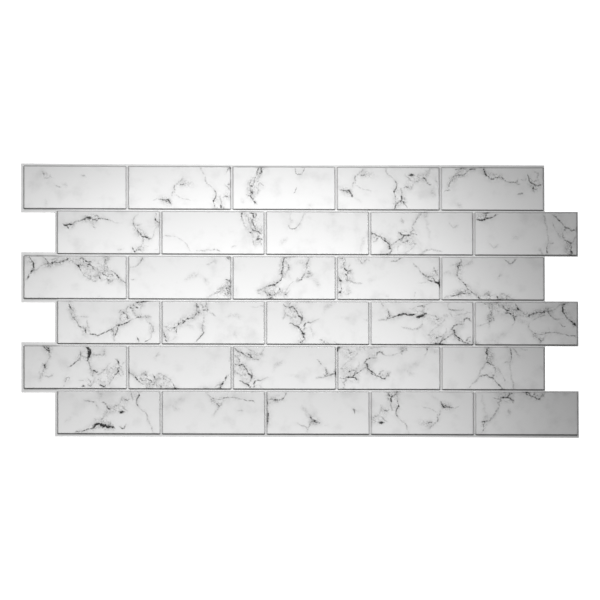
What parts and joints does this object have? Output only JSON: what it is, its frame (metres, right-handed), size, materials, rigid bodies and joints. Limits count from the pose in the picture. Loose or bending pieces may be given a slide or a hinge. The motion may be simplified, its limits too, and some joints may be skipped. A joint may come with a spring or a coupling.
{
  "type": "pvc wall panel",
  "caption": "Thin formed PVC wall panel that imitates staggered marble brick tiles, hollow behind, with toothed ends that lap over the next panel.",
  "frame": {"origin": "middle of the panel's length and height, on the plane of its back", "axes": "+X along the courses to the close-trimmed right end, +Y up the wall, +Z out of the wall, so the panel lies face up"},
  "size_m": [0.98, 0.48, 0.0032],
  "materials": {
    "printed_pvc_film": "satin"
  },
  "bodies": {
    "root": {"wall_panel": "printed_pvc_film"}
  },
  "joints": []
}
